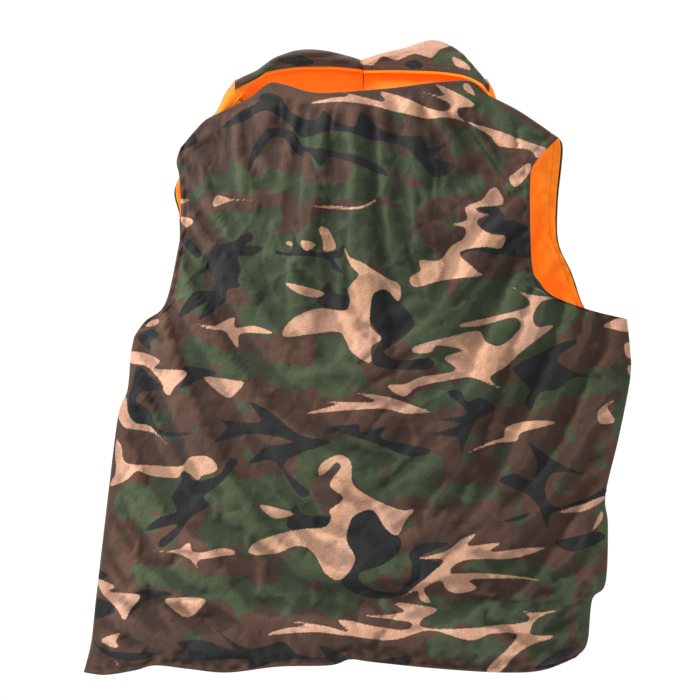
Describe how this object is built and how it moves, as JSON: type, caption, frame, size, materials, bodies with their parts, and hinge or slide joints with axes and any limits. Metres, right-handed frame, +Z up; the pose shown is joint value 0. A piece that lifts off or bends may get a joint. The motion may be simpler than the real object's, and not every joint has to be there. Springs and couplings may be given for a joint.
{
  "type": "reversible padded vest",
  "caption": "Sleeveless reversible padded vest, camouflage face out and orange lining in, with a folded collar, parted front zip and slanted zip pockets.",
  "frame": {"origin": "middle of the neck between the shoulders, where the vest hangs, 0.70 m above the hem", "axes": "+Z up; -Y is the wearer's front; +X is the wearer's left; the vest is seen from +Y"},
  "size_m": [0.6634, 0.1012, 0.769],
  "materials": {
    "camouflage_cloth": "brushed cotton, matte",
    "orange_cloth": "smooth woven polyester, low sheen",
    "wadding": "fibre fill",
    "pocket_cloth": "matte",
    "zip_tape": "matte",
    "zip_teeth": "antique",
    "dark_metal": "dark nickel, satin"
  },
  "bodies": {
    "body": {"back_shell": "camouflage_cloth", "back_wadding": "wadding", "back_lining": "orange_cloth", "collar_back_shell": "camouflage_cloth", "collar_back_lining": "orange_cloth", "left_side_shell": "camouflage_cloth", "left_side_wadding": "wadding", "left_side_lining": "orange_cloth", "left_pocket_bag": "pocket_cloth", "left_pocket_welt": "camouflage_cloth", "left_pocket_rear_tape": "zip_tape", "left_pocket_rear_teeth": "zip_teeth", "left_pocket_front_tape": "zip_tape", "left_pocket_front_teeth": "zip_teeth", "right_side_shell": "camouflage_cloth", "right_side_wadding": "wadding", "right_side_lining": "orange_cloth", "right_pocket_bag": "pocket_cloth", "right_pocket_welt": "camouflage_cloth", "right_pocket_rear_tape": "zip_tape", "right_pocket_rear_teeth": "zip_teeth", "right_pocket_front_tape": "zip_tape", "right_pocket_front_teeth": "zip_teeth"},
    "left_leaf": {"left_front_shell": "camouflage_cloth", "left_front_wadding": "wadding", "left_front_lining": "orange_cloth", "left_collar_shell": "camouflage_cloth", "left_collar_lining": "orange_cloth", "left_zip_tape": "zip_tape", "left_zip_teeth": "zip_teeth", "left_zip_stop": "dark_metal", "zip_pin": "dark_metal"},
    "right_leaf": {"right_front_shell": "camouflage_cloth", "right_front_wadding": "wadding", "right_front_lining": "orange_cloth", "right_collar_shell": "camouflage_cloth", "right_collar_lining": "orange_cloth", "right_zip_tape": "zip_tape", "right_zip_teeth": "zip_teeth", "right_zip_stop": "dark_metal", "zip_box": "dark_metal"},
    "front_slider": {"front_slider": "dark_metal", "front_crown": "dark_metal"},
    "front_pull": {"front_pull": "dark_metal"},
    "left_pocket_slider": {"left_pocket_slider": "dark_metal", "left_pocket_crown": "dark_metal"},
    "left_pocket_pull": {"left_pocket_pull": "dark_metal"},
    "right_pocket_slider": {"right_pocket_slider": "dark_metal", "right_pocket_crown": "dark_metal"},
    "right_pocket_pull": {"right_pocket_pull": "dark_metal"}
  },
  "joints": [
    {"name": "left_front_swing", "type": "hinge", "parent": "body", "child": "left_leaf", "pos_m": [0.191, -0.01937, -0.3405], "axis": [-0.1184, 0.0365, 0.9923], "range_deg": [0, 130]},
    {"name": "right_front_swing", "type": "hinge", "parent": "body", "child": "right_leaf", "pos_m": [-0.195, -0.01937, -0.34], "axis": [-0.1063, -0.0363, -0.9937], "range_deg": [0, 130]},
    {"name": "front_slider_slide", "type": "slide", "parent": "right_leaf", "child": "front_slider", "axis": [0, 0, 1], "range_m": [0, 0.61]},
    {"name": "front_pull_turn", "type": "hinge", "parent": "front_slider", "child": "front_pull", "pos_m": [-0.01, -0.0443, -0.6582], "axis": [-1, 0, 0], "range_deg": [0, 120]},
    {"name": "left_pocket_slider_slide", "type": "slide", "parent": "body", "child": "left_pocket_slider", "axis": [-0.383, -0.0291, 0.9233], "range_m": [0, 0.11]},
    {"name": "left_pocket_pull_turn", "type": "hinge", "parent": "left_pocket_slider", "child": "left_pocket_pull", "pos_m": [0.28198, -0.0203, -0.46856], "axis": [-0.9091, -0.1655, -0.3823], "range_deg": [0, 120]},
    {"name": "right_pocket_slider_slide", "type": "slide", "parent": "body", "child": "right_pocket_slider", "axis": [0.3827, -0.0474, 0.9226], "range_m": [0, 0.11]},
    {"name": "right_pocket_pull_turn", "type": "hinge", "parent": "right_pocket_slider", "child": "right_pocket_pull", "pos_m": [-0.29362, -0.01937, -0.46893], "axis": [-0.9147, 0.1209, 0.3856], "range_deg": [0, 120]}
  ]
}
